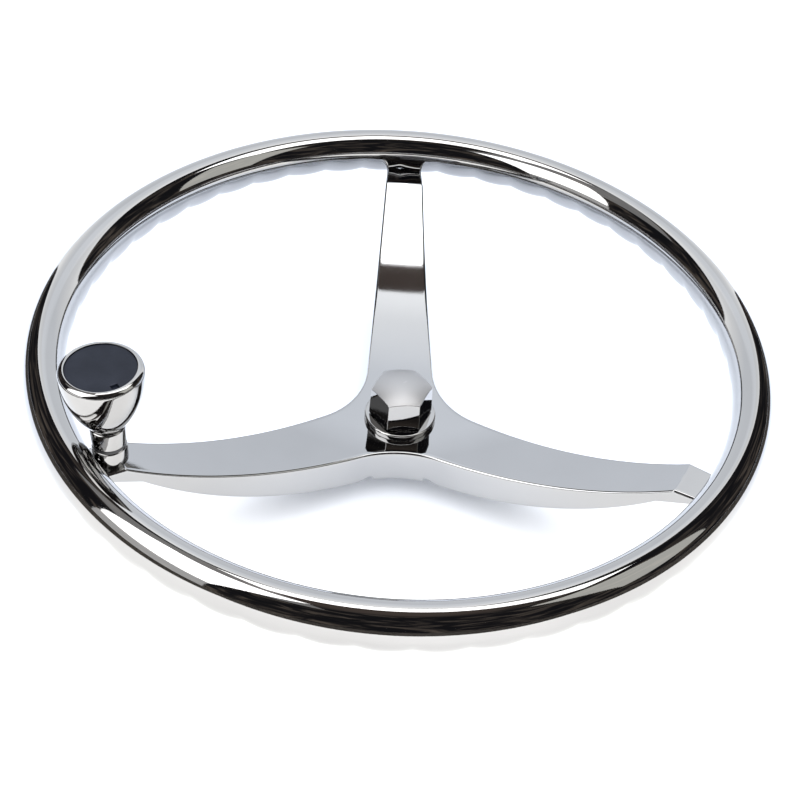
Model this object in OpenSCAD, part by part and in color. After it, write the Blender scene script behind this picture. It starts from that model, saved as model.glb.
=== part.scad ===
// Dished boat steering wheel with three spokes, a domed hub nut and a turning knob.
// Units are millimetres. +Z runs along the wheel's axis, out of the face the helmsman holds.
// The origin is on that axis, at the mouth of the tapered shaft bore under the hub.

/* [Rim] */
// Outside diameter of the rim
rim_d = 343; // [330:1:360]
// Width of the rim's oval section, across the wheel
rim_section_w = 18.6; // [16:0.1:20]
// Depth of the rim's oval section, along the axis
rim_section_h = 23.4; // [21:0.1:25]
// Wall of the hollow rim
rim_wall = 1.5; // [1:0.1:2.5]
// Height of the rim's middle plane above the shaft bore's mouth
rim_z = 74; // [66:0.5:80]
// Number of finger grips around the underside
grip_count = 48; // [36:3:60]
// Depth of the notch between two finger grips
grip_depth = 1.45; // [0.6:0.05:2]
// Half the width of that notch
grip_half_w = 5.8; // [3:0.1:6.5]
// Angle from +X to the first notch
grip_phase = 0.9; // [0:0.1:7]

/* [Spokes] */
// Height of the flat hub plate's top above the shaft bore's mouth
plate_z = 28.6; // [24:0.2:34]
// Thickness of the plate
plate_t = 3; // [2:0.1:4]
// Thickness of the skirt under each edge of the plate
skirt_t = 2.5; // [1.5:0.1:3]
// Half width of a spoke, taken back to the wheel's axis
spoke_half_w = 18.25; // [16:0.25:20]
// Narrowing of that half width, in mm for each mm outwards
spoke_taper = 0.0575; // [0.04:0.0025:0.07]
// Distance from the axis to the middle of the curved edge between two spokes
web_r = 25.5; // [24:0.5:28]
// Radius of the long sweep of a spoke's top face, seen from the side
top_sweep_r = 229.7; // [220:0.1:240]
// Distance from the axis where that sweep starts
top_sweep_from = 14; // [10:0.5:18]
// Height of the skirt's bottom edge at the hub
skirt_z = 11; // [8:0.5:14]
// Radius of the sweep of the skirt's bottom edge
skirt_sweep_r = 180; // [170:1:190]
// Distance from the axis where that sweep starts
skirt_sweep_from = 15; // [12:0.5:18]
// Distance from the axis to the crease where a spoke turns level
crease_r = 141.3; // [138:0.1:144]
// Distance from the axis to the bend of the skirt's bottom edge
kink_r = 135; // [132:0.5:138]
// Distance from the axis to the square end of a spoke, inside the rim's wall line
spoke_end_r = 156; // [155:0.25:157]

/* [Hub] */
// Outside diameter of the hub boss
boss_d = 32; // [30:0.5:36]
// Large diameter of the tapered bore, for a three quarter inch shaft
taper_d = 19.05; // [19:0.05:19.1]
// Narrowing of the bore's diameter, in mm for each mm of depth
taper_rate = 0.08333; // [0.08:0.0001:0.09]
// Width of the keyway
key_w = 4.76; // [4.7:0.02:5]
// Depth of the keyway beyond the bore's wall at the mouth
key_depth = 2.4; // [2:0.1:3]
// Diameter of the hub nut's thread, five eighths of an inch
thread_d = 15.875; // [15.8:0.005:16]
// Hub nut's width across flats
nut_af = 26; // [25:0.2:28]
// Height of the hub nut's corners
nut_corner_h = 15.2; // [13:0.2:17]
// Radius of the hub nut's domed top
nut_dome_r = 34; // [28:0.5:40]
// Turn of the hub nut from square
nut_turn = 5.6; // [0:0.2:30]
// Outside diameter of the washer under the hub nut
washer_d = 34.4; // [32:0.2:36]
// Thickness of that washer
washer_t = 3; // [2.4:0.1:3.4]

/* [Knob] */
// Distance from the wheel's axis to the knob's axis
knob_r = 144; // [143.5:0.1:144.5]
// Direction of the knob's spoke from +X
knob_angle = 210; // [90:120:330]
// Diameter of the collars under the knob
collar_d = 14.9; // [13:0.1:15]
// Height of the fixed lower collar
pedestal_h = 8.3; // [7:0.1:9]
// Thickness of the black ring between the collars
thrust_t = 1.8; // [1.2:0.1:2.4]
// Height of the turning upper collar
neck_h = 9.1; // [8:0.1:10]
// Largest diameter of the knob
knob_d = 34.7; // [33:0.1:36]
// Height from the upper collar to the cap's face
cup_h = 31.5; // [30:0.1:33]
// Radius of the cup's bulging side
cup_side_r = 44.7; // [42:0.1:48]
// Diameter of the black cap
cap_d = 28.9; // [28.4:0.1:29.4]
// Radial running clearance between the spindle and its bushes
running_gap = 0.05; // [0.02:0.01:0.08]

/* [Hidden] */
$fn = 96;
overlap = 0.05;

// rim
section_r = rim_section_w / 2;
rim_ring_r = rim_d / 2 - section_r;
section_rise = rim_section_h / 2 - section_r;
upper_z = rim_z + section_rise;
lower_z = rim_z - section_rise;

// spokes: an edge of a spoke leans in by edge_lean; the bay between spokes is filleted
spoke_angles = [90, 210, 330];
edge_lean = atan(spoke_taper);
edge_gap = spoke_half_w * cos(edge_lean);
bay_edge_angle = 60 + edge_lean;
fillet_centre_r = (web_r - edge_gap) / (1 - sin(bay_edge_angle));
fillet_r = fillet_centre_r - web_r;
crease_z = plate_z + top_sweep_r - sqrt(pow(top_sweep_r, 2) - pow(crease_r - top_sweep_from, 2));
kink_z = skirt_z + skirt_sweep_r - sqrt(pow(skirt_sweep_r, 2) - pow(kink_r - skirt_sweep_from, 2));
level_skirt_end_r = 153;
relief_r = 2.4;
relief_side = 13.9;
relief_length = 14;
stud_hole_r = 8.6;
seat_r = washer_d / 2 + 0.2;

// hub
boss_h = plate_z - plate_t;
nut_z = plate_z + washer_t;
nut_corner_r = nut_af / sqrt(3);
nut_dome_z = nut_z + nut_corner_h - sqrt(pow(nut_dome_r, 2) - pow(nut_corner_r, 2));

// knob stack: the spindle has a 5 mm stud at both ends, and the fasteners below hang under the spoke
stud_r = 2.5;
spindle_r = 4;
bush_r = 5;
bush_bore_r = spindle_r + running_gap;
pedestal_top = crease_z + pedestal_h;
thrust_top = pedestal_top + thrust_t;
neck_z = thrust_top + 0.05;
cup_z = neck_z + neck_h;
cap_z = cup_z + cup_h;
lip_r = 2.6;
lip_z = cap_z + 0.5 - lip_r;
cup_side_x = knob_d / 2 - cup_side_r;
cap_t = 2;
well_floor_z = cap_z - 14;
shoulder_z = well_floor_z + 0.1;
cap_wall_r = cap_d / 2 - 0.6;
cap_wall_t = 2.6;
cap_wall_z = cap_z - cap_t - 2.6;
cap_recess_h = 2.6;
oring_d = 0.75;
oring_z = cap_z - cap_t - 1.3;
pry_w = 3.2;
pry_reach = 3.1;
pry_depth = 1.2;
well_r = 11;
well_step_z = cap_z - 6;
lip_groove = 0.5;
notch_angle = 304;
bush_h = 9;
m5_washer_r = 5;
m5_washer_t = 1;
m5_spring_r = 4.6;
m5_spring_t = 1.2;
m5_af = 8;
mount_seat_r = m5_washer_r + 0.3;
mount_seat_z = crease_z - plate_t + 0.2;
mount_washer_z = mount_seat_z - m5_washer_t;
spring_washer_z = mount_washer_z - m5_spring_t;
mount_nut_h = 4.7;
nut_low_z = spring_washer_z - mount_nut_h;
lock_nut_h = 5;
lock_nut_z = shoulder_z + m5_washer_t;
lock_ring_r = 3.5;
lock_ring_h = 1.1;
lock_ring_z = lock_nut_z + lock_nut_h - lock_ring_h;

// one side of a spoke: height against distance from the axis, filled from skirt edge to top face
module spoke_side() {
    difference() {
        union() {
            intersection() {
                translate([0, skirt_z]) square([kink_r, crease_z - skirt_z]);
                union() {
                    translate([0, skirt_z]) square([skirt_sweep_from, crease_z]);
                    translate([skirt_sweep_from, skirt_z + skirt_sweep_r]) circle(skirt_sweep_r);
                }
            }
            polygon([
                [kink_r - 1, kink_z + 1], [kink_r, kink_z],
                [level_skirt_end_r, crease_z - plate_t], [spoke_end_r, crease_z - plate_t],
                [spoke_end_r, crease_z], [kink_r - 1, crease_z]
            ]);
        }
        above_plate(0);
    }
}

// everything above the plate's top face, or all above its underside with drop = plate_t;
// the flat part reaches just past the hub washer, as its seat
module above_plate(drop) {
    translate([top_sweep_from, plate_z + top_sweep_r]) circle(top_sweep_r + drop);
    translate([-1, plate_z - drop]) square([seat_r + 1, crease_z]);
}

// the hollow under the plate, seen from the side
module pocket_side() {
    difference() {
        square([rim_ring_r, crease_z - plate_t]);
        above_plate(plate_t);
    }
}

// the spider's outline from above, drawn in by inset and reaching out to end_r
module spider_plan(inset, end_r) {
    tangent_x = fillet_centre_r * cos(60) - (fillet_r + inset) * sin(edge_lean);
    tangent_y = fillet_centre_r * sin(60) - (fillet_r + inset) * cos(edge_lean);
    end_y = spoke_half_w - spoke_taper * end_r - inset / cos(edge_lean);
    corners = [[tangent_x, -tangent_y], [end_r, -end_y], [end_r, end_y], [tangent_x, tangent_y]];
    difference() {
        polygon([
            for (a = spoke_angles) for (c = corners)
                [c.x * cos(a) - c.y * sin(a), c.x * sin(a) + c.y * cos(a)]
        ]);
        for (a = spoke_angles)
            rotate(a + 60) translate([fillet_centre_r, 0]) circle(fillet_r + inset + overlap);
    }
}

module rim_section(r) {
    translate([rim_ring_r, upper_z]) circle(r);
    translate([rim_ring_r, lower_z]) circle(r);
    translate([rim_ring_r - r, lower_z]) square([2 * r, upper_z - lower_z]);
}

// a shallow V that wraps round the lower half of the rim and fades out at its sides
module grip_notch() {
    floor_r = section_r + 0.05;
    brim_r = section_r + grip_depth + 0.1;
    translate([rim_ring_r, 0, lower_z + grip_depth]) rotate([90, 0, 0]) rotate([0, 0, 180])
        rotate_extrude(angle = 180)
            polygon([
                [floor_r, 0], [brim_r, grip_half_w], [brim_r + 3, grip_half_w],
                [brim_r + 3, -grip_half_w], [brim_r, -grip_half_w]
            ]);
}

module rim() {
    color([0.78, 0.79, 0.81]) difference() {
        rotate_extrude() rim_section(section_r);
        rotate_extrude() rim_section(section_r - rim_wall);
        for (i = [0 : grip_count - 1]) rotate(grip_phase + i * 360 / grip_count) grip_notch();
    }
}

module spoke_spider() {
    color([0.80, 0.82, 0.85]) difference() {
        intersection() {
            rotate_extrude() spoke_side();
            linear_extrude(crease_z + 1) spider_plan(0, spoke_end_r + 1);
        }
        intersection() {
            rotate_extrude() pocket_side();
            linear_extrude(crease_z) spider_plan(skirt_t, rim_ring_r);
        }
        rotate_extrude() rim_section(section_r);
        cylinder(r = stud_hole_r, h = crease_z);
        at_knob() cylinder(r = stud_r, h = crease_z + 1);
        at_knob() cylinder(r = mount_seat_r, h = mount_seat_z);
        for (a = spoke_angles) for (side = [-1, 1])
            rotate(a + 60) translate([web_r - skirt_t - 1, side * relief_side, skirt_z])
                rotate([0, 90, 0]) cylinder(r = relief_r, h = relief_length);
    }
}

module hub_boss() {
    mouth_r = taper_d / 2;
    top_r = mouth_r - boss_h * taper_rate / 2;
    color([0.70, 0.71, 0.73]) difference() {
        rotate_extrude() polygon([
            [mouth_r, 0], [boss_d / 2 - 1, 0], [boss_d / 2, 1], [boss_d / 2, boss_h], [top_r, boss_h]
        ]);
        translate([0, -key_w / 2, -1]) cube([mouth_r + key_depth, key_w, boss_h + 2]);
    }
}

module hub_washer() {
    edge = 0.5;
    color([0.76, 0.77, 0.79]) translate([0, 0, plate_z]) rotate_extrude() polygon([
        [thread_d / 2 + 0.4, 0], [washer_d / 2, 0], [washer_d / 2, washer_t - edge],
        [washer_d / 2 - edge, washer_t], [thread_d / 2 + 0.4, washer_t]
    ]);
}

module hub_nut() {
    thread_depth = 13;
    face_h = 0.8;
    blank_h = 30;
    color([0.82, 0.83, 0.85]) difference() {
        rotate(nut_turn) intersection() {
            translate([0, 0, nut_z]) union() {
                cylinder(r = nut_af / 2 - 0.2, h = face_h + 1);
                translate([0, 0, face_h]) cylinder(r = nut_corner_r, h = blank_h, $fn = 6);
            }
            translate([0, 0, nut_dome_z]) sphere(nut_dome_r);
        }
        translate([0, 0, nut_z - 1]) cylinder(d = thread_d, h = thread_depth + 1);
    }
}

module at_knob() {
    rotate(knob_angle) translate([knob_r, 0, 0]) rotate(-knob_angle) children();
}

module ring(outer_r, inner_r, z, h) {
    at_knob() translate([0, 0, z]) difference() {
        cylinder(r = outer_r, h = h);
        translate([0, 0, -1]) cylinder(r = inner_r, h = h + 2);
    }
}

// a turned collar with a small chamfer on its outer edges
module collar(outer_r, inner_r, z, h, edge) {
    at_knob() translate([0, 0, z]) rotate_extrude() polygon([
        [inner_r, 0], [outer_r - edge, 0], [outer_r, edge],
        [outer_r, h - edge], [outer_r - edge, h], [inner_r, h]
    ]);
}

module hex_nut(z, h) {
    at_knob() translate([0, 0, z]) difference() {
        cylinder(r = m5_af / sqrt(3), h = h, $fn = 6);
        translate([0, 0, -1]) cylinder(r = stud_r, h = h + 2);
    }
}

module knob_pedestal() {
    color([0.76, 0.77, 0.79]) collar(collar_d / 2, spindle_r, crease_z, pedestal_h, 0.5);
}

module knob_spindle() {
    stud_low_z = nut_low_z - 1.5;
    stud_high_z = lock_nut_z + lock_nut_h + 0.8;
    color([0.66, 0.67, 0.70]) at_knob() union() {
        translate([0, 0, stud_low_z]) cylinder(r = stud_r, h = stud_high_z - stud_low_z);
        translate([0, 0, crease_z]) cylinder(r = spindle_r, h = shoulder_z - crease_z);
    }
}

module mount_washer() {
    color([0.70, 0.71, 0.73]) ring(m5_washer_r, stud_r + 0.15, mount_washer_z, m5_washer_t);
}

module mount_spring_washer() {
    split_w = 1;
    color([0.60, 0.61, 0.64]) difference() {
        ring(m5_spring_r, stud_r + 0.1, spring_washer_z, m5_spring_t);
        at_knob() translate([0, 0, spring_washer_z + m5_spring_t / 2]) rotate([0, 0, -60])
            rotate([30, 0, 0]) translate([0, -split_w / 2, -4]) cube([8, split_w, 8]);
    }
}

module mount_nut() {
    color([0.70, 0.71, 0.73]) hex_nut(nut_low_z, mount_nut_h);
}

module thrust_ring() {
    color([0.07, 0.07, 0.08]) ring(collar_d / 2 - 0.3, spindle_r, pedestal_top, thrust_t);
}

module spindle_washer() {
    color([0.70, 0.71, 0.73]) ring(m5_washer_r, stud_r + 0.15, shoulder_z, m5_washer_t);
}

module spindle_lock_nut() {
    color([0.70, 0.71, 0.73]) difference() {
        hex_nut(lock_nut_z, lock_nut_h);
        ring_seat(lock_ring_r);
    }
}

// the counterbore in the lock nut that its nylon ring fills
module ring_seat(r) {
    at_knob() translate([0, 0, lock_ring_z]) cylinder(r = r, h = lock_nut_h);
}

module lock_nut_ring() {
    color([0.20, 0.35, 0.75]) ring(lock_ring_r, stud_r, lock_ring_z, lock_ring_h);
}

module knob_neck() {
    color([0.78, 0.79, 0.81]) collar(collar_d / 2, bush_r, neck_z, neck_h, 0.4);
}

module lower_bush() {
    color([0.72, 0.55, 0.28]) ring(bush_r, bush_bore_r, neck_z + 0.3, neck_h + 6);
}

module upper_bush() {
    color([0.72, 0.55, 0.28]) ring(bush_r, bush_bore_r, well_floor_z - bush_h, bush_h);
}

// outline of the solid cup, from its foot to the crest of its rounded lip
module cup_outline() {
    intersection() {
        translate([cup_side_x, lip_z]) circle(cup_side_r);
        translate([0, cup_z]) square([knob_d / 2, lip_z - cup_z]);
    }
    translate([knob_d / 2 - lip_r, lip_z]) circle(lip_r);
}

module knob_cup() {
    color([0.80, 0.81, 0.83]) at_knob() rotate_extrude() difference() {
        cup_outline();
        translate([0, cup_z - 1]) square([bush_r, 40]);
        translate([0, well_floor_z]) square([well_r, 30]);
        translate([0, well_step_z]) square([cap_wall_r, 30]);
        translate([0, cap_z - cap_t]) square([cap_d / 2 + 0.1, 30]);
        translate([knob_d / 2, lip_z]) rotate(45) square(lip_groove, center = true);
    }
}

module knob_cap() {
    color([0.16, 0.18, 0.23]) at_knob() difference() {
        union() {
            translate([0, 0, cap_z - cap_t]) cylinder(d = cap_d, h = cap_t);
            translate([0, 0, cap_wall_z]) cylinder(r = cap_wall_r, h = cap_z - cap_wall_z - 1);
        }
        translate([0, 0, cap_wall_z - 1]) cylinder(r = cap_wall_r - cap_wall_t, h = cap_recess_h + 1);
        translate([0, 0, oring_z]) rotate_extrude()
            translate([cap_wall_r - oring_d, -oring_d]) square([2, 2 * oring_d]);
        rotate(notch_angle) translate([cap_d / 2 - pry_reach, -pry_w / 2, cap_z - pry_depth])
            cube([pry_reach + 1, pry_w, 2]);
    }
}

module cap_oring() {
    color([0.05, 0.05, 0.05]) at_knob() translate([0, 0, oring_z]) rotate_extrude()
        translate([cap_wall_r - oring_d / 2, 0]) circle(oring_d / 2);
}

rim();
spoke_spider();
hub_boss();
hub_washer();
hub_nut();
knob_pedestal();
knob_spindle();
mount_washer();
mount_spring_washer();
mount_nut();
thrust_ring();
spindle_washer();
spindle_lock_nut();
lock_nut_ring();
knob_neck();
lower_bush();
upper_bush();
knob_cup();
knob_cap();
cap_oring();
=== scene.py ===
import math

import bmesh
import bpy
import numpy as np
from mathutils import Matrix, Vector

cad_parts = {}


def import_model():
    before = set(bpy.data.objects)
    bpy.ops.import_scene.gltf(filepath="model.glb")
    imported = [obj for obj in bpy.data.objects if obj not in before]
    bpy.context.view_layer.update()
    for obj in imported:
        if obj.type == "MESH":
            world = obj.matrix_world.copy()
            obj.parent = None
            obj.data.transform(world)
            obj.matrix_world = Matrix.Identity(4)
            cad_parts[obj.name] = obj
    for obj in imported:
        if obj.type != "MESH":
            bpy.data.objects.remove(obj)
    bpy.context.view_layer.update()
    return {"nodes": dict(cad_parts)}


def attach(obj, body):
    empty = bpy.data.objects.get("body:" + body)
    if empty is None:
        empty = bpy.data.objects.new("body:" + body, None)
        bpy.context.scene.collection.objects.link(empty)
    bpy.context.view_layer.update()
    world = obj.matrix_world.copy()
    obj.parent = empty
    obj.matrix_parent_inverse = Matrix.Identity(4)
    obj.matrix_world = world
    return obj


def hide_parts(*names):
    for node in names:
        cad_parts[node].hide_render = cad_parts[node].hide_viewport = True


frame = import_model()
MM = 0.001

# Sizes in millimetres, as in the CAD source.
RIM_RING_R = 162.2
RIM_SECTION_R = 9.3
RIM_HALF_H = 11.7
RIM_Z = 74.0
GRIPS = 48
GRIP_DEPTH = 1.45
GRIP_PHASE = 0.9
PLATE_Z = 28.6
PLATE_T = 3.0
PLATE_EDGE_R = 1.3
SKIRT_T = 2.5
SKIRT_FOOT_R = 0.5
SPOKE_HALF_W = 18.25
SPOKE_TAPER = 0.0575
WEB_R = 25.5
TOP_SWEEP_R = 229.7
TOP_SWEEP_FROM = 14.0
SEAT_R = 17.4
SKIRT_Z = 11.0
SKIRT_SWEEP_R = 180.0
SKIRT_SWEEP_FROM = 15.0
CREASE_R = 141.3
KINK_R = 135.0
LEVEL_SKIRT_END_R = 153.0
STUD_HOLE_R = 8.6
RELIEF_SIDE = 13.9
RELIEF_RISE = 2.3
RELIEF_FADE = 5.5
SPOKE_ANGLES = (90, 210, 330)
SECTOR = math.radians(60)
CREASE_Z = PLATE_Z + TOP_SWEEP_R - math.sqrt(TOP_SWEEP_R**2 - (CREASE_R - TOP_SWEEP_FROM) ** 2)
SPOKE_END_R = 154
SPOKE_END_HALF_W = SPOKE_HALF_W - SPOKE_TAPER * SPOKE_END_R
WASHER_R = 17.2
WASHER_T = 3.0
NUT_Z = PLATE_Z + WASHER_T
NUT_AF = 26.0
NUT_CORNER_H = 15.2
NUT_DOME_R = 34.0
NUT_TURN = 5.6
NUT_DRAFT = 0.035
NUT_THREAD_R = 7.9375
NUT_THREAD_H = 13
KNOB_R = 144.0
KNOB_ANGLE = 210
COLLAR_R = 7.45
COLLAR_BORE_R = 4
KNOB_BORE_R = 5
PEDESTAL_TOP = CREASE_Z + 8.3
THRUST_TOP = PEDESTAL_TOP + 1.8
NECK_Z = THRUST_TOP + 0.05
CUP_Z = NECK_Z + 9.1
CAP_Z = CUP_Z + 31.5
KNOB_HALF_D = 17.35
CUP_SIDE_R = 44.7
LIP_R = 2.6
LIP_Z = CAP_Z + 0.5 - LIP_R
CAP_R = 14.45
CAP_T = 2
CAP_SKIRT_R = CAP_R - 0.6
CAP_SKIRT_T = 2.6
CAP_SKIRT_Z = CAP_Z - 4.6
SEAL_GROOVE_Z = CAP_Z - 3.3
SEAL_GROOVE_D = 0.75
NOTCH_ANGLE = 304
NOTCH_REACH = 3.1
NOTCH_HALF_W = 1.6
NOTCH_DEPTH = 1.2
WELL_R = 11
WELL_STEP_Z = CAP_Z - 6
WELL_FLOOR_Z = CAP_Z - 14


# ---------------------------------------------------------------- mesh helpers
def mesh_piece(name, verts_mm, faces, material, body, replaced=(), sharp_deg=38):
    """A piece from points in millimetres, smooth except where two faces meet at more than sharp_deg."""
    mesh = bpy.data.meshes.new(name)
    mesh.from_pydata([tuple(float(c) * MM for c in v) for v in verts_mm], [], faces)
    bm = bmesh.new()
    bm.from_mesh(mesh)
    bmesh.ops.remove_doubles(bm, verts=bm.verts, dist=2e-6)
    bmesh.ops.dissolve_degenerate(bm, edges=bm.edges, dist=1e-7)
    bmesh.ops.recalc_face_normals(bm, faces=bm.faces)
    bm.to_mesh(mesh)
    bm.free()
    mesh.polygons.foreach_set("use_smooth", [True] * len(mesh.polygons))
    mesh.set_sharp_from_angle(angle=math.radians(sharp_deg))
    obj = bpy.data.objects.new(name, mesh)
    bpy.context.scene.collection.objects.link(obj)
    obj.data.materials.append(material)
    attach(obj, body)
    if replaced:
        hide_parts(*replaced)
    return obj


def grid_faces(rows, columns, wrap_rows=False, wrap_columns=False):
    """Quads of a rows x columns grid of points, numbered row by row."""
    faces = []
    for i in range(rows if wrap_rows else rows - 1):
        for j in range(columns if wrap_columns else columns - 1):
            i2 = (i + 1) % rows
            j2 = (j + 1) % columns
            faces.append((i * columns + j, i * columns + j2, i2 * columns + j2, i2 * columns + j))
    return faces


def rounded(corners, steps):
    """A closed outline of (x, y, radius) corners as a list of points, each corner rounded by its radius."""
    points = []
    count = len(corners)
    for i in range(count):
        here = np.array(corners[i][:2], float)
        radius = corners[i][2]
        if radius <= 0:
            points.append(tuple(here))
            continue
        before = np.array(corners[i - 1][:2], float) - here
        after = np.array(corners[(i + 1) % count][:2], float) - here
        before /= np.linalg.norm(before)
        after /= np.linalg.norm(after)
        half = math.acos(max(-1.0, min(1.0, float(before @ after)))) / 2
        reach = radius / math.tan(half)
        bisector = (before + after) / np.linalg.norm(before + after)
        centre = here + bisector * radius / math.sin(half)
        start = here + before * reach - centre
        end = here + after * reach - centre
        sweep = math.atan2(start[0] * end[1] - start[1] * end[0], float(start @ end))
        for k in range(steps + 1):
            turn = sweep * k / steps
            c, s = math.cos(turn), math.sin(turn)
            points.append((centre[0] + start[0] * c - start[1] * s, centre[1] + start[0] * s + start[1] * c))
    return points


def lathe(name, profile, centre, material, body, replaced=(), around=128, sharp_deg=38):
    """A closed profile of (radius, height) turned round the vertical line through centre."""
    verts = []
    for i in range(around):
        a = 2 * math.pi * i / around
        verts += [(centre[0] + r * math.cos(a), centre[1] + r * math.sin(a), z) for r, z in profile]
    count = len(profile)
    on_axis = [r == 0 for r, z in profile]
    faces = grid_faces(around, count, True, True)
    faces = [f for f in faces if not (on_axis[f[0] % count] and on_axis[f[1] % count])]
    return mesh_piece(name, verts, faces, material, body, replaced, sharp_deg)


def cut(obj, verts_mm, faces):
    """Takes a closed shape out of a piece's mesh."""
    tool_mesh = bpy.data.meshes.new("cutter")
    tool_mesh.from_pydata([tuple(c * MM for c in v) for v in verts_mm], [], faces)
    tool = bpy.data.objects.new("cutter", tool_mesh)
    bpy.context.scene.collection.objects.link(tool)
    mod = obj.modifiers.new("cut", "BOOLEAN")
    mod.operation = "DIFFERENCE"
    mod.solver = "EXACT"
    mod.object = tool
    bpy.context.view_layer.update()
    evaluated = obj.evaluated_get(bpy.context.evaluated_depsgraph_get())
    made = bpy.data.meshes.new_from_object(evaluated)
    obj.modifiers.clear()
    obj.data = made
    bpy.data.objects.remove(tool)


def bevel(obj, width_mm, angle_deg):
    """Small rounded edges, as a modifier."""
    mod = obj.modifiers.new("edge_round", "BEVEL")
    mod.width = width_mm * MM
    mod.segments = 3
    mod.limit_method = "ANGLE"
    mod.angle_limit = math.radians(angle_deg)
    mod.harden_normals = True


def turned(x, y, angle):
    """A point of the plan, turned about the origin by an angle in radians."""
    return x * math.cos(angle) - y * math.sin(angle), x * math.sin(angle) + y * math.cos(angle)


# ---------------------------------------------------------------- materials
class Nodes:
    """Short names for the shader nodes that the materials here share."""

    def __init__(self, name):
        self.material = bpy.data.materials.new(name)
        self.material.use_nodes = True
        self.tree = self.material.node_tree
        self.shader = self.tree.nodes["Principled BSDF"]
        self.coords = self.tree.nodes.new("ShaderNodeTexCoord").outputs["Object"]

    def link(self, a, b):
        self.tree.links.new(a, b)

    def mapped(self, scale=(1, 1, 1)):
        node = self.tree.nodes.new("ShaderNodeMapping")
        node.inputs["Scale"].default_value = scale
        self.link(self.coords, node.inputs["Vector"])
        return node.outputs["Vector"]

    def noise(self, vector, scale, detail=3.0, rough=0.5):
        node = self.tree.nodes.new("ShaderNodeTexNoise")
        node.inputs["Scale"].default_value = scale
        node.inputs["Detail"].default_value = detail
        node.inputs["Roughness"].default_value = rough
        self.link(vector, node.inputs["Vector"])
        return node.outputs["Fac"]

    def spread(self, value, low, high, to_low, to_high):
        node = self.tree.nodes.new("ShaderNodeMapRange")
        node.inputs["From Min"].default_value = low
        node.inputs["From Max"].default_value = high
        node.inputs["To Min"].default_value = to_low
        node.inputs["To Max"].default_value = to_high
        self.link(value, node.inputs["Value"])
        return node.outputs["Result"]

    def mix_colour(self, factor, a, b):
        node = self.tree.nodes.new("ShaderNodeMix")
        node.data_type = "RGBA"
        self.link(factor, node.inputs["Factor"])
        for socket, value in ((node.inputs[6], a), (node.inputs[7], b)):
            if isinstance(value, tuple):
                socket.default_value = (*value, 1)
            else:
                self.link(value, socket)
        return node.outputs[2]

    def combine(self, operation, a, b):
        node = self.tree.nodes.new("ShaderNodeMath")
        node.operation = operation
        for socket, value in ((node.inputs[0], a), (node.inputs[1], b)):
            if isinstance(value, (int, float)):
                socket.default_value = value
            else:
                self.link(value, socket)
        return node.outputs[0]

    def edges(self, low, high):
        """0 on flats, 1 along convex edges."""
        node = self.tree.nodes.new("ShaderNodeNewGeometry")
        return self.spread(node.outputs["Pointiness"], low, high, 0, 1)

    def bump(self, height, strength, distance):
        node = self.tree.nodes.new("ShaderNodeBump")
        node.inputs["Strength"].default_value = strength
        node.inputs["Distance"].default_value = distance
        self.link(height, node.inputs["Height"])
        self.link(node.outputs["Normal"], self.shader.inputs["Normal"])


def polished_steel(name, tint=(0.404, 0.4, 0.396), dull=0.0):
    """Mirror polished stainless: faint polishing haze, hairline scratches and worn bright edges."""
    m = Nodes(name)
    haze = m.noise(m.mapped(), 14, 4)
    fine = m.noise(m.mapped((1, 1, 0.15)), 900, 2)
    hair = m.noise(m.mapped((1, 12, 4)), 220, 6, 0.7)
    worn = m.edges(0.52, 0.60)
    darker = tuple(c * 0.93 for c in tint)
    brighter = tuple(c * 1.08 for c in tint)
    colour = m.mix_colour(m.spread(haze, 0.35, 0.65, 0, 1), darker, tint)
    colour = m.mix_colour(worn, colour, brighter)
    m.link(colour, m.shader.inputs["Base Color"])
    rough = m.spread(haze, 0.3, 0.7, 0.015 + dull, 0.05 + dull)
    rough = m.combine("ADD", rough, m.spread(hair, 0.62, 0.72, 0, 0.05))
    rough = m.combine("ADD", rough, m.combine("MULTIPLY", worn, 0.04))
    m.link(rough, m.shader.inputs["Roughness"])
    m.shader.inputs["Metallic"].default_value = 1
    m.bump(m.combine("ADD", fine, hair), 0.012, 0.0002)
    return m.material


def machined_metal(name, colour, darker):
    """Turned or plated metal with fine tool marks round the part."""
    m = Nodes(name)
    marks = m.noise(m.mapped((40, 40, 900)), 3, 3, 0.6)
    blotch = m.noise(m.mapped(), 120, 4)
    worn = m.edges(0.51, 0.58)
    base = m.mix_colour(m.spread(blotch, 0.35, 0.7, 0, 1), colour, darker)
    base = m.mix_colour(worn, base, tuple(c * 1.25 for c in colour))
    m.link(base, m.shader.inputs["Base Color"])
    m.link(m.spread(marks, 0.3, 0.7, 0.21, 0.38), m.shader.inputs["Roughness"])
    m.shader.inputs["Metallic"].default_value = 1
    m.bump(marks, 0.15, 0.0002)
    return m.material


def moulded(name, colour, rough, shine=0.5):
    """Moulded plastic or rubber with a fine grain."""
    m = Nodes(name)
    grain = m.noise(m.mapped(), 1400, 2)
    blotch = m.noise(m.mapped(), 90, 4)
    worn = m.edges(0.52, 0.6)
    lighter = tuple(c * 1.3 + 0.002 for c in colour)
    base = m.mix_colour(m.spread(blotch, 0.35, 0.7, 0, 1), colour, lighter)
    base = m.mix_colour(worn, base, tuple(c * 1.9 + 0.01 for c in colour))
    m.link(base, m.shader.inputs["Base Color"])
    m.link(m.spread(grain, 0.3, 0.7, rough - 0.05, rough + 0.06), m.shader.inputs["Roughness"])
    m.shader.inputs["Specular IOR Level"].default_value = shine
    m.bump(grain, 0.08, 0.0001)
    return m.material


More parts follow.
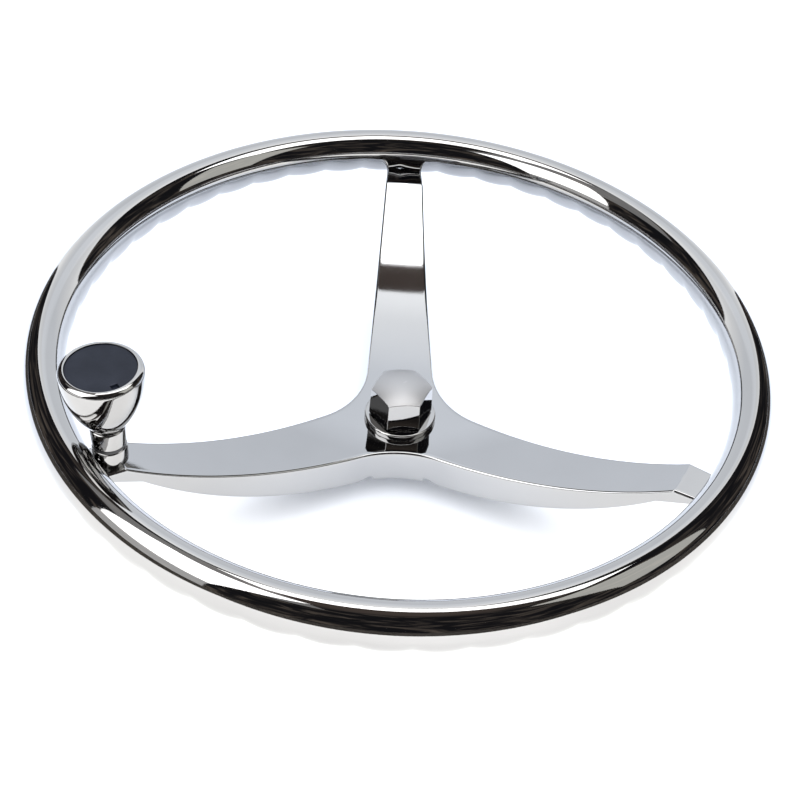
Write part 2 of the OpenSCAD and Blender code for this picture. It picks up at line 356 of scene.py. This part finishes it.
STEEL = polished_steel("polished_steel")
SPIDER_STEEL = polished_steel("polished_steel_spokes", (0.40, 0.402, 0.408))
SATIN = polished_steel("satin_steel", (0.46, 0.458, 0.465), 0.42)
MACHINED = machined_metal("machined_steel", (0.60, 0.60, 0.61), (0.50, 0.50, 0.51))
BRONZE = machined_metal("bronze", (0.66, 0.46, 0.22), (0.52, 0.35, 0.16))
BLACK_NYLON = moulded("black_nylon", (0.02, 0.02, 0.022), 0.4)
BLUE_NYLON = moulded("blue_nylon", (0.05, 0.12, 0.42), 0.4)
CAP_PLASTIC = moulded("cap_plastic", (0.006, 0.0078, 0.0135), 0.42, shine=0.16)
RUBBER = moulded("seal_rubber", (0.02, 0.02, 0.02), 0.6)


# ---------------------------------------------------------------- rim
def rim():
    """An oval tube bent to a ring; swellings between shallow valleys make the finger grips underneath."""
    per_grip = 20
    around = GRIPS * per_grip
    section = [(math.cos(a), math.sin(a)) for a in np.linspace(0, 2 * math.pi, 72, endpoint=False)]
    pitch = 2 * math.pi * RIM_RING_R / GRIPS
    valley_half_w = 9.6
    valley_softness = 0.35
    verts = []
    for i in range(around):
        turn = 2 * math.pi * i / around + math.radians(GRIP_PHASE)
        offset = ((i + per_grip / 2) % per_grip - per_grip / 2) / per_grip * pitch
        soft = math.sqrt(offset**2 + valley_softness**2)
        valley = max(0.0, 1 - soft / valley_half_w) ** 1.8
        for out, up in section:
            dent = GRIP_DEPTH * valley * max(0.0, -up) ** 0.8
            ring = RIM_RING_R + out * (RIM_SECTION_R - dent)
            verts.append((ring * math.cos(turn), ring * math.sin(turn), RIM_Z + up * (RIM_HALF_H - dent)))
    faces = grid_faces(around, len(section), True, True)
    mesh_piece("rim_polished", verts, faces, STEEL, "wheel", ["rim"], 60)


def rim_inner_wall(z):
    """Distance from the axis to the rim's inner wall at a height."""
    share = min(1.0, abs(z - RIM_Z) / RIM_HALF_H)
    return RIM_RING_R - RIM_SECTION_R * math.sqrt(1 - share**2)


# ---------------------------------------------------------------- spokes
def sweep_rise(radius, reach):
    """How far an arc of that radius has risen at a distance from its lowest point."""
    return radius - math.sqrt(radius**2 - reach**2)


def plate_top(r):
    """Height of the top face of the hub plate and spokes, level at the nut's seat and beyond the crease."""
    if r <= SEAT_R:
        return PLATE_Z
    arc = PLATE_Z + sweep_rise(TOP_SWEEP_R, min(r, CREASE_R + 3) - TOP_SWEEP_FROM)
    blend = 0.35
    gap = CREASE_Z - arc
    return CREASE_Z - 0.5 * (gap + math.sqrt(gap**2 + blend**2)) + 0.5 * blend * math.exp(-abs(gap) / blend)


def plate_under(r):
    """Height of the underside of the plate."""
    reach = max(0.0, r - TOP_SWEEP_FROM)
    arc = PLATE_Z - PLATE_T + sweep_rise(TOP_SWEEP_R + PLATE_T, reach)
    return min(arc, CREASE_Z - PLATE_T)


def skirt_bottom(r, side):
    """Height of the skirt's bottom edge; side is the distance from the middle line of the bay."""
    z = SKIRT_Z + sweep_rise(SKIRT_SWEEP_R, max(0.0, min(r, KINK_R) - SKIRT_SWEEP_FROM))
    if r > KINK_R:
        share = min(1.0, (r - KINK_R) / (LEVEL_SKIRT_END_R - KINK_R))
        z += share * (CREASE_Z - PLATE_T - z)
    near_hub = 60
    if r < near_hub:
        inner = min(1.0, max(0.0, (side - RELIEF_SIDE + 2.4) / 1.2))
        outer = min(1.0, max(0.0, (RELIEF_SIDE + RELIEF_FADE - side) / RELIEF_FADE))
        z += RELIEF_RISE * inner * (3 - 2 * inner) * inner * outer**1.5
    return z


def skirt_foot(r, side):
    """Height of the skirt's bottom edge, which ends at the underside of the plate."""
    return min(skirt_bottom(r, side), plate_under(r))


def spider():
    """The pressed plate: rings of points across half a spoke from bay to rim, mirrored and turned to six."""
    lean = math.atan(SPOKE_TAPER)
    fillet_centre_r = (WEB_R - SPOKE_HALF_W * math.cos(lean)) / (1 - math.sin(SECTOR + lean))
    fillet_r = fillet_centre_r - WEB_R
    bay = np.array([math.cos(SECTOR), math.sin(SECTOR)])
    fillet = bay * fillet_centre_r
    tangent = fillet - fillet_r * np.array([math.sin(lean), math.cos(lean)])
    tangent_r = float(np.hypot(*tangent))

    def outline(u):
        """(point, outward normal) on the outline: u from 0 to 1 along the bay's arc, beyond 1 is a radius."""
        if u <= 1:
            a = math.pi + SECTOR + u * (math.pi / 2 - SECTOR - lean)
            out = np.array([math.cos(a), math.sin(a)])
            return fillet + fillet_r * out, -out
        # The point of the spoke's straight edge at radius u, found by putting x back in.
        x = u
        for _ in range(20):
            x = math.sqrt(u**2 - (SPOKE_HALF_W - SPOKE_TAPER * x) ** 2)
        return np.array([x, SPOKE_HALF_W - SPOKE_TAPER * x]), np.array([math.sin(lean), math.cos(lean)])

    # Each station: its place on the outline, its start on the stud hole or the spoke's middle line, and how
    # far its line follows circles about the axis.
    stations = []
    hole_steps, web_steps = 8, 14
    for k in range(hole_steps + web_steps + 1):
        u = k / (hole_steps + web_steps)
        if k <= hole_steps:
            a = SECTOR * (1 - k / hole_steps)
            start = np.array([math.cos(a), math.sin(a)]) * STUD_HOLE_R
        else:
            share = (k - hole_steps) / web_steps
            start = np.array([STUD_HOLE_R + (tangent_r - STUD_HOLE_R) * share, 0.0])
        stations.append((u, start, u))
    radii = list(np.linspace(tangent_r, CREASE_R - 3, 60)[1:])
    radii += [CREASE_R + d for d in (-2.2, -1.5, -0.9, -0.45, 0, 0.45, 0.9, 1.6, 3, 5, 7.5, 10, 12.4, 13.6)]
    stations += [(r, np.array([r, 0.0]), 1.0) for r in radii]

    across = 12
    edge_steps = 5
    wall_steps = 8
    foot_steps = 4
    loops = []
    for index, (u, start, arc_share) in enumerate(stations):
        last = index == len(stations) - 1
        edge, normal = outline(u)

        def at(inset, height, share=None):
            """A point at an inset from the outline, or between the start and that inset line."""
            target = edge - normal * inset
            if share is None:
                point = target
            else:
                point = start + (target - start) * share
                wanted = np.hypot(*start) + (np.hypot(*target) - np.hypot(*start)) * share
                bent = point * (wanted / max(1e-9, np.hypot(*point)))
                point = point + (bent - point) * arc_share
            r = float(np.hypot(*point))
            z = height(r, abs(point[0] * bay[1] - point[1] * bay[0]))
            if last:
                point = point * ((rim_inner_wall(z) + 0.25) / r)
            return (point[0], point[1], z)

        loop = [at(PLATE_EDGE_R, lambda r, side: plate_top(r), k / across) for k in range(across + 1)]
        for k in range(1, edge_steps + 1):
            beta = math.pi / 2 * k / edge_steps
            drop = PLATE_EDGE_R * (1 - math.cos(beta))
            loop.append(at(PLATE_EDGE_R * (1 - math.sin(beta)), lambda r, side: plate_top(r) - drop))
        for k in range(1, wall_steps):
            share = k / wall_steps
            loop.append(
                at(
                    0,
                    lambda r, side: (plate_top(r) - PLATE_EDGE_R) * (1 - share)
                    + (skirt_foot(r, side) + SKIRT_FOOT_R) * share,
                )
            )
        for k in range(foot_steps + 1):
            beta = math.pi / 2 * k / foot_steps
            lift = SKIRT_FOOT_R * (1 - math.sin(beta))
            loop.append(at(SKIRT_FOOT_R * (1 - math.cos(beta)), lambda r, side: skirt_foot(r, side) + lift))
        for k in range(foot_steps + 1):
            beta = math.pi / 2 * k / foot_steps
            lift = SKIRT_FOOT_R * (1 - math.cos(beta))
            inset = SKIRT_T - SKIRT_FOOT_R * (1 - math.sin(beta))
            loop.append(at(inset, lambda r, side: min(skirt_foot(r, side) + lift, plate_under(r))))
        for k in range(1, foot_steps + 1):
            share = k / foot_steps
            loop.append(
                at(SKIRT_T, lambda r, side: skirt_foot(r, side) * (1 - share) + plate_under(r) * share)
            )
        loop += [at(SKIRT_T, lambda r, side: plate_under(r), 1 - k / across) for k in range(1, across + 1)]
        loops.append(loop)

    half = [p for loop in loops for p in loop]
    width = len(loops[0])
    half_faces = grid_faces(len(loops), width)
    for k in range(hole_steps):
        half_faces.append((k * width, (k + 1) * width, (k + 2) * width - 1, (k + 1) * width - 1))
    half_faces.append(tuple((len(loops) - 1) * width + j for j in range(width)))
    verts, faces = [], []
    for angle in SPOKE_ANGLES:
        for mirror in (1, -1):
            base = len(verts)
            verts += [(*turned(x, y * mirror, math.radians(angle)), z) for x, y, z in half]
            for f in half_faces:
                g = tuple(base + i for i in f)
                faces.append(g if mirror == 1 else g[::-1])
    mesh_piece(
        "spoke_spider_polished", verts, faces, SPIDER_STEEL, "wheel", ["spoke_spider"], 32
    )


def weld_bead(name, angle):
    """A thin ground weld under a spoke's end, where it meets the rim's inner wall."""
    steps, ring = 90, 10
    z = CREASE_Z - PLATE_T + 0.15
    flatness = 0.8
    verts = []
    for k in range(steps + 1):
        y = SPOKE_END_HALF_W * (2 * k / steps - 1)
        x = math.sqrt(rim_inner_wall(z) ** 2 - y**2) - 0.2
        fat = 1.0 + 0.13 * math.sin(k * 1.15) + 0.06 * math.sin(k * 0.41)
        if k in (0, steps):
            fat *= 0.4
        for j in range(ring):
            t = 2 * math.pi * j / ring
            out = x + fat * math.cos(t)
            verts.append((*turned(out, y, math.radians(angle)), z + flatness * fat * math.sin(t)))
    faces = grid_faces(steps + 1, ring, False, True)
    faces += [tuple(range(ring))[::-1], tuple(steps * ring + j for j in range(ring))]
    mesh_piece(name, verts, faces, STEEL, "wheel", sharp_deg=80)


# ---------------------------------------------------------------- hub
def hub_nut():
    """A hexagon whose faces run up into a dome; the dome is ground to a satin finish."""
    flats, per_side = 6, 10
    count = flats * per_side
    half_af = NUT_AF / 2
    slope = math.tan(math.pi / flats)
    dome_z = NUT_Z + NUT_CORNER_H - math.sqrt(NUT_DOME_R**2 - (NUT_AF / math.sqrt(3)) ** 2)
    foot_z = NUT_Z + 0.8
    foot_r = half_af - 0.2
    thread_top = NUT_Z + NUT_THREAD_H

    def across(k):
        """Where a point lies along its side, as a multiple of half the width across the flats."""
        return slope * 2 * ((k % per_side) / per_side - 0.5)

    def hex_r(k, share):
        """Radius of a point on the faces, which lean in from share 0 at their foot to 1 at the dome."""
        return half_af * (1 - NUT_DRAFT * (share - 0.5)) * math.sqrt(1 + across(k) ** 2)

    def dome(r):
        return dome_z + math.sqrt(NUT_DOME_R**2 - r**2)

    rings = [
        [(NUT_THREAD_R, thread_top)] * count,
        [(NUT_THREAD_R, NUT_Z)] * count,
        [(half_af - 0.9, NUT_Z)] * count,
        [(foot_r, NUT_Z + 0.15)] * count,
        [(foot_r, foot_z)] * count,
    ]
    for share in (0, 0.25, 0.5, 0.75, 1):
        rings.append(
            [(hex_r(k, share), foot_z + (dome(hex_r(k, 1)) - foot_z) * share) for k in range(count)]
        )
    for share in (0.93, 0.86, 0.78, 0.7, 0.6, 0.5, 0.4, 0.3, 0.2, 0.1):
        round_share = (1 - share) ** 0.5
        radii = [(hex_r(k, 1) * (1 - round_share) + half_af * round_share) * share for k in range(count)]
        rings.append([(r, dome(r)) for r in radii])
    verts = []
    for row in rings:
        for k, (r, z) in enumerate(row):
            a = math.radians(NUT_TURN + 60 * (k // per_side) + 30) + math.atan(across(k))
            verts.append((r * math.cos(a), r * math.sin(a), z))
    faces = grid_faces(len(rings), count, False, True)
    top = len(verts)
    bottom = top + 1
    verts += [(0, 0, dome(0)), (0, 0, thread_top + 2)]
    top_row = (len(rings) - 1) * count
    for k in range(count):
        faces.append((top_row + k, top_row + (k + 1) % count, top))
        faces.append(((k + 1) % count, k, bottom))
    nut = mesh_piece("hub_nut_domed", verts, faces, STEEL, "wheel", ["hub_nut"], 25)
    nut.data.materials.append(SATIN)
    for face in nut.data.polygons:
        if face.normal.z > 0.7:
            face.material_index = 1
    bevel(nut, 0.35, 35)


def hub_washer():
    hole_r = NUT_THREAD_R + 0.4
    profile = rounded(
        [
            (hole_r, PLATE_Z, 0.2),
            (WASHER_R, PLATE_Z, 0.35),
            (WASHER_R, PLATE_Z + WASHER_T, 0.9),
            (hole_r, PLATE_Z + WASHER_T, 0.2),
        ],
        6,
    )
    lathe("hub_washer_polished", profile, (0, 0), STEEL, "wheel", ["hub_washer"], 160)


# ---------------------------------------------------------------- knob
KNOB = turned(KNOB_R, 0, math.radians(KNOB_ANGLE))


def knob_collars():
    """The foot on the spoke, the thin ring above it and the collar that turns with the knob."""
    lathe(
        "knob_pedestal_polished",
        rounded(
            [
                (COLLAR_BORE_R, CREASE_Z, 0),
                (COLLAR_R, CREASE_Z, 0.2),
                (COLLAR_R, PEDESTAL_TOP, 0.6),
                (COLLAR_BORE_R, PEDESTAL_TOP, 0),
            ],
            6,
        ),
        KNOB, STEEL, "wheel", ["knob_pedestal"],
    )
    lathe(
        "thrust_ring_moulded",
        rounded(
            [
                (COLLAR_BORE_R, PEDESTAL_TOP, 0),
                (COLLAR_R - 0.3, PEDESTAL_TOP, 0.25),
                (COLLAR_R - 0.3, THRUST_TOP, 0.25),
                (COLLAR_BORE_R, THRUST_TOP, 0),
            ],
            4,
        ),
        KNOB, BLACK_NYLON, "wheel", ["thrust_ring"],
    )
    lathe(
        "knob_neck_polished",
        rounded(
            [
                (KNOB_BORE_R, NECK_Z, 0),
                (COLLAR_R, NECK_Z, 0.6),
                (COLLAR_R, CUP_Z, 0.7),
                (KNOB_BORE_R, CUP_Z, 0),
            ],
            6,
        ),
        KNOB, STEEL, "knob", ["knob_neck"],
    )


def knob_cup():
    """The cup: an arc for its side, a rolled lip, and a stepped well for the cap."""
    side_x = KNOB_HALF_D - CUP_SIDE_R
    lip_x = KNOB_HALF_D - LIP_R
    cap_gap = 0.1

    def side_r(z):
        return side_x + math.sqrt(CUP_SIDE_R**2 - (LIP_Z - z) ** 2)

    foot_r = side_r(CUP_Z)
    profile = [(KNOB_BORE_R, CUP_Z), (foot_r - 0.5, CUP_Z), (foot_r - 0.15, CUP_Z + 0.12)]
    side_steps = 40
    for k in range(1, side_steps):
        z = CUP_Z + 0.5 + (LIP_Z - CUP_Z - 0.5) * k / side_steps
        profile.append((side_r(z), z))
    lip_steps = 24
    for k in range(lip_steps + 1):
        a = math.pi / 2 * k / lip_steps
        profile.append((lip_x + LIP_R * math.cos(a), LIP_Z + LIP_R * math.sin(a)))
    profile += [
        (CAP_R + 0.16, CAP_Z + 0.46),
        (CAP_R + cap_gap, CAP_Z + 0.3),
        (CAP_R + cap_gap, CAP_Z - CAP_T),
        (CAP_SKIRT_R, CAP_Z - CAP_T),
        (CAP_SKIRT_R, WELL_STEP_Z),
        (WELL_R, WELL_STEP_Z),
        (WELL_R, WELL_FLOOR_Z),
        (KNOB_BORE_R, WELL_FLOOR_Z),
    ]
    lathe("knob_cup_polished", profile, KNOB, STEEL, "knob", ["knob_cup"], 192, 40)


def knob_cap():
    """The cap: a disc with a grooved skirt for the sealing ring, and a pry notch in its edge."""
    groove_low = SEAL_GROOVE_Z - SEAL_GROOVE_D
    groove_high = SEAL_GROOVE_Z + SEAL_GROOVE_D
    under = CAP_Z - CAP_T
    profile = rounded(
        [
            (CAP_R - 0.8, CAP_Z, 0),
            (10, CAP_Z, 0),
            (5, CAP_Z, 0),
            (0, CAP_Z, 0),
            (0, under, 0),
            (CAP_SKIRT_R - CAP_SKIRT_T, under, 0.2),
            (CAP_SKIRT_R - CAP_SKIRT_T, CAP_SKIRT_Z, 0.2),
            (CAP_SKIRT_R, CAP_SKIRT_Z, 0.2),
            (CAP_SKIRT_R, groove_low, 0),
            (CAP_SKIRT_R - SEAL_GROOVE_D, groove_low, 0),
            (CAP_SKIRT_R - SEAL_GROOVE_D, groove_high, 0),
            (CAP_SKIRT_R, groove_high, 0),
            (CAP_SKIRT_R, under, 0),
            (CAP_R, under, 0.1),
            (CAP_R, CAP_Z, 0.3),
        ],
        4,
    )
    cap = lathe("knob_cap_satin", profile, KNOB, CAP_PLASTIC, "knob", ["knob_cap"], 160, 40)
    verts = []
    for z in (CAP_Z - NOTCH_DEPTH, CAP_Z + 1):
        for x, y in (
            (CAP_R - NOTCH_REACH, -NOTCH_HALF_W),
            (CAP_R + 1, -NOTCH_HALF_W),
            (CAP_R + 1, NOTCH_HALF_W),
            (CAP_R - NOTCH_REACH, NOTCH_HALF_W),
        ):
            dx, dy = turned(x, y, math.radians(NOTCH_ANGLE))
            verts.append((KNOB[0] + dx, KNOB[1] + dy, z))
    faces = [(3, 2, 1, 0), (4, 5, 6, 7), (0, 1, 5, 4), (1, 2, 6, 5), (2, 3, 7, 6), (3, 0, 4, 7)]
    cut(cap, verts, faces)


# ---------------------------------------------------------------- build
rim()
spider()
for spoke_number, spoke_angle in enumerate(SPOKE_ANGLES):
    weld_bead(f"rim_weld_{spoke_number + 1}", spoke_angle)
hub_nut()
hub_washer()
knob_collars()
knob_cup()
knob_cap()

CARRIED = {
    "hub_boss": MACHINED,
    "knob_spindle": MACHINED,
    "mount_washer": MACHINED,
    "mount_spring_washer": MACHINED,
    "mount_nut": MACHINED,
    "spindle_washer": MACHINED,
    "spindle_lock_nut": MACHINED,
    "lock_nut_ring": BLUE_NYLON,
    "lower_bush": BRONZE,
    "upper_bush": BRONZE,
    "cap_oring": RUBBER,
}
for node_name, node_material in CARRIED.items():
    node = frame["nodes"][node_name]
    node.data.materials.clear()
    node.data.materials.append(node_material)


# ---------------------------------------------------------------- stage, light, camera
def floor():
    """The pale floor, with a cooler tone behind the wheel than in front of it."""
    mesh = bpy.data.meshes.new("floor")
    half = 4.0
    low = -0.0006
    verts = [(-half, -half, low), (half, -half, low), (half, half, low), (-half, half, low)]
    mesh.from_pydata(verts, [], [(0, 1, 2, 3)])
    obj = bpy.data.objects.new("floor", mesh)
    bpy.context.scene.collection.objects.link(obj)
    m = Nodes("floor_pale")
    place = m.mapped()
    front = m.mix_colour(m.noise(place, 3, 2), (0.80, 0.80, 0.80), (0.82, 0.82, 0.82))
    split = m.tree.nodes.new("ShaderNodeSeparateXYZ")
    m.link(place, split.inputs["Vector"])
    behind = m.spread(split.outputs["Y"], -0.10, 0.04, 0, 1)
    m.link(m.mix_colour(behind, front, (0.71, 0.765, 0.87)), m.shader.inputs["Base Color"])
    m.shader.inputs["Roughness"].default_value = 0.9
    m.shader.inputs["Specular IOR Level"].default_value = 0.1
    obj.data.materials.append(m.material)


def area_light(name, place, aim, size, radiance, colour=(1, 1, 1), only_reflections=True):
    """A softbox of that radiance for the steel to mirror, or a fill for the floor and the plastics."""
    data = bpy.data.lights.new(name, "AREA")
    data.shape = "RECTANGLE"
    data.size, data.size_y = size
    data.energy = radiance * math.pi * size[0] * size[1]
    data.color = colour
    obj = bpy.data.objects.new(name, data)
    obj.location = place
    obj.rotation_mode = "QUATERNION"
    obj.rotation_quaternion = (Vector(aim) - Vector(place)).to_track_quat("-Z", "Y")
    obj.visible_camera = False
    obj.visible_glossy = only_reflections
    obj.visible_diffuse = not only_reflections
    bpy.context.scene.collection.objects.link(obj)


def world():
    """A dark studio round the light tent, with plain white for the camera itself."""
    made = bpy.data.worlds.new("studio")
    bpy.context.scene.world = made
    made.use_nodes = True
    tree = made.node_tree
    link = tree.links.new
    coords = tree.nodes.new("ShaderNodeTexCoord").outputs["Generated"]
    split = tree.nodes.new("ShaderNodeSeparateXYZ")
    link(coords, split.inputs["Vector"])

    def step(value, low, high):
        """0 up to low, 1 from high on, with a soft rise between."""
        node = tree.nodes.new("ShaderNodeMapRange")
        node.interpolation_type = "SMOOTHSTEP"
        node.inputs["From Min"].default_value = low
        node.inputs["From Max"].default_value = high
        link(value, node.inputs["Value"])
        return node.outputs["Result"]

    def mix(factor, a, b):
        node = tree.nodes.new("ShaderNodeMix")
        node.data_type = "RGBA"
        link(factor, node.inputs["Factor"])
        for socket, value in ((node.inputs[6], a), (node.inputs[7], b)):
            if isinstance(value, tuple):
                socket.default_value = (*value, 1)
            else:
                link(value, socket)
        return node.outputs[2]

    patches = tree.nodes.new("ShaderNodeTexNoise")
    patches.inputs["Scale"].default_value = 3.5
    patches.inputs["Detail"].default_value = 5
    patches.inputs["Distortion"].default_value = 2.2
    link(coords, patches.inputs["Vector"])
    dark = mix(
        step(patches.outputs["Fac"], 0.46, 0.70),
        (0.016, 0.016, 0.019),
        (0.16, 0.135, 0.115),
    )
    dark = mix(step(split.outputs["Z"], 0.90, 0.985), dark, (0.12, 0.095, 0.084))
    rays = tree.nodes.new("ShaderNodeLightPath")
    dark = mix(rays.outputs["Is Diffuse Ray"], dark, (1.05, 1.05, 1.05))
    link(mix(rays.outputs["Is Camera Ray"], dark, (1.0, 1.0, 1.0)), tree.nodes["Background"].inputs["Color"])


def reflected_sheet(name, verts, faces, material):
    """A studio surface that only reflections show."""
    mesh = bpy.data.meshes.new(name)
    mesh.from_pydata(verts, [], faces)
    obj = bpy.data.objects.new(name, mesh)
    bpy.context.scene.collection.objects.link(obj)
    obj.data.materials.append(material)
    obj.visible_camera = False
    obj.visible_shadow = False
    obj.visible_diffuse = False


def tent():
    """The pale light tent behind the wheel, with an arched opening towards the camera, brightest there."""
    arch = [(0.457, 0.0), (0.457, 0.55), (0.40, 0.72), (0.30, 0.90), (0.22, 1.08), (0.16, 1.24)]
    arch += [(-x, z) for x, z in arch[::-1]]
    count = len(arch)
    opening = [(x, 0.405 + 0.16 * abs(x), z) for x, z in arch]
    back = [(1.05 * x, 0.95, 0.92 * z) for x, z in arch]
    faces = [(i, i + 1, i + 1 + count, i + count) for i in range(count - 1)]
    faces.append(tuple(range(count, 2 * count)))
    material = bpy.data.materials.new("tent_cloth")
    material.use_nodes = True
    nodes, link = material.node_tree.nodes, material.node_tree.links.new
    nodes.remove(nodes["Principled BSDF"])
    glow = nodes.new("ShaderNodeEmission")
    link(glow.outputs["Emission"], nodes["Material Output"].inputs["Surface"])
    split = nodes.new("ShaderNodeSeparateXYZ")
    link(nodes.new("ShaderNodeTexCoord").outputs["Object"], split.inputs["Vector"])
    ramp = nodes.new("ShaderNodeValToRGB")
    stops = ramp.color_ramp.elements
    stops.new(0.60)
    for stop, place, tone in zip(
        stops, (0.42, 0.60, 0.95), ((2.09, 2.12, 2.15, 1), (1.67, 1.71, 1.76, 1), (1.40, 1.47, 1.57, 1))
    ):
        stop.position = place
        stop.color = tone
    link(split.outputs["Y"], ramp.inputs["Fac"])
    low = nodes.new("ShaderNodeMapRange")
    low.inputs["From Min"].default_value = 0.78
    low.inputs["From Max"].default_value = 0.92
    low.inputs["To Min"].default_value = 0.86
    link(split.outputs["Z"], low.inputs["Value"])
    link(ramp.outputs["Color"], glow.inputs["Color"])
    link(low.outputs["Result"], glow.inputs["Strength"])
    reflected_sheet("light_tent", opening + back, faces, material)


def dark_cards():
    """Low dark cards in front of the wheel and beside it, where the pale sweep ends."""
    half_w, back, front, height = 0.40, 0.40, -0.50, 0.075
    plan = [(-half_w, back), (-half_w, front), (half_w, front), (half_w, back)]
    verts = [(x, y, z) for z in (0.0, height) for x, y in plan]
    m = Nodes("card_dark")
    colour = m.mix_colour(m.noise(m.mapped(), 9, 3), (0.02, 0.018, 0.016), (0.07, 0.06, 0.05))
    m.link(colour, m.shader.inputs["Base Color"])
    m.shader.inputs["Roughness"].default_value = 0.9
    reflected_sheet("dark_cards", verts, [(0, 1, 5, 4), (1, 2, 6, 5), (2, 3, 7, 6)], m.material)


def camera():
    """The camera in front of the wheel, looking down at it, with the wheel left of its axis."""
    place = (-0.0274, -0.4986, 0.5106)
    yaw, pitch, roll = 0.1208, 0.7513, 0.1262
    data = bpy.data.cameras.new("camera")
    obj = bpy.data.objects.new("camera", data)
    bpy.context.scene.collection.objects.link(obj)
    forward = Vector((math.sin(yaw) * math.cos(pitch), math.cos(yaw) * math.cos(pitch), -math.sin(pitch)))
    right = Vector((math.cos(yaw), -math.sin(yaw), 0))
    up = right.cross(forward)
    side = right * math.cos(roll) + up * math.sin(roll)
    above = up * math.cos(roll) - right * math.sin(roll)
    turn = Matrix((side, above, -forward)).transposed()
    obj.matrix_world = Matrix.Translation(place) @ turn.to_4x4()
    data.sensor_width = 36
    data.lens = 64.065
    data.shift_x = -0.0875
    data.clip_start = 0.01
    data.clip_end = 50
    bpy.context.scene.camera = obj


# The lights: name, place, aim and size in metres, and radiance.
floor()
tent()
dark_cards()
area_light("overhead_softbox", (0.10, 0.078, 0.93), (0.10, 0.078, 0), (0.72, 0.317), 4.0)
area_light("ceiling_bounce", (-0.75, -0.15, 1.25), (-0.75, -0.15, 0), (0.86, 1.3), 0.36)
area_light("left_softbox", (-0.40, -0.24, 0.46), (0.0, 0.0, 0.08), (0.36, 0.52), 3.9)
area_light("left_board", (-0.54, -0.32, 0.13), (0.0, 0.0, 0.10), (0.36, 0.25), 0.8)
area_light("right_softbox", (1.0, -0.36, 0.85), (0.0, 0.0, 0.08), (0.66, 1.05), 0.9, (1.0, 1.0, 0.94))
area_light("fill", (0.0, 0.0, 2.0), (0.0, 0.0, 0.0), (4.0, 4.0), 2.0, only_reflections=False)
area_light("front_fill", (0.1, -1.3, 0.5), (0.1, 0.0, 0.0), (2.4, 0.7), 4.5, only_reflections=False)
world()
camera()
bpy.context.scene.view_settings.view_transform = "Standard"
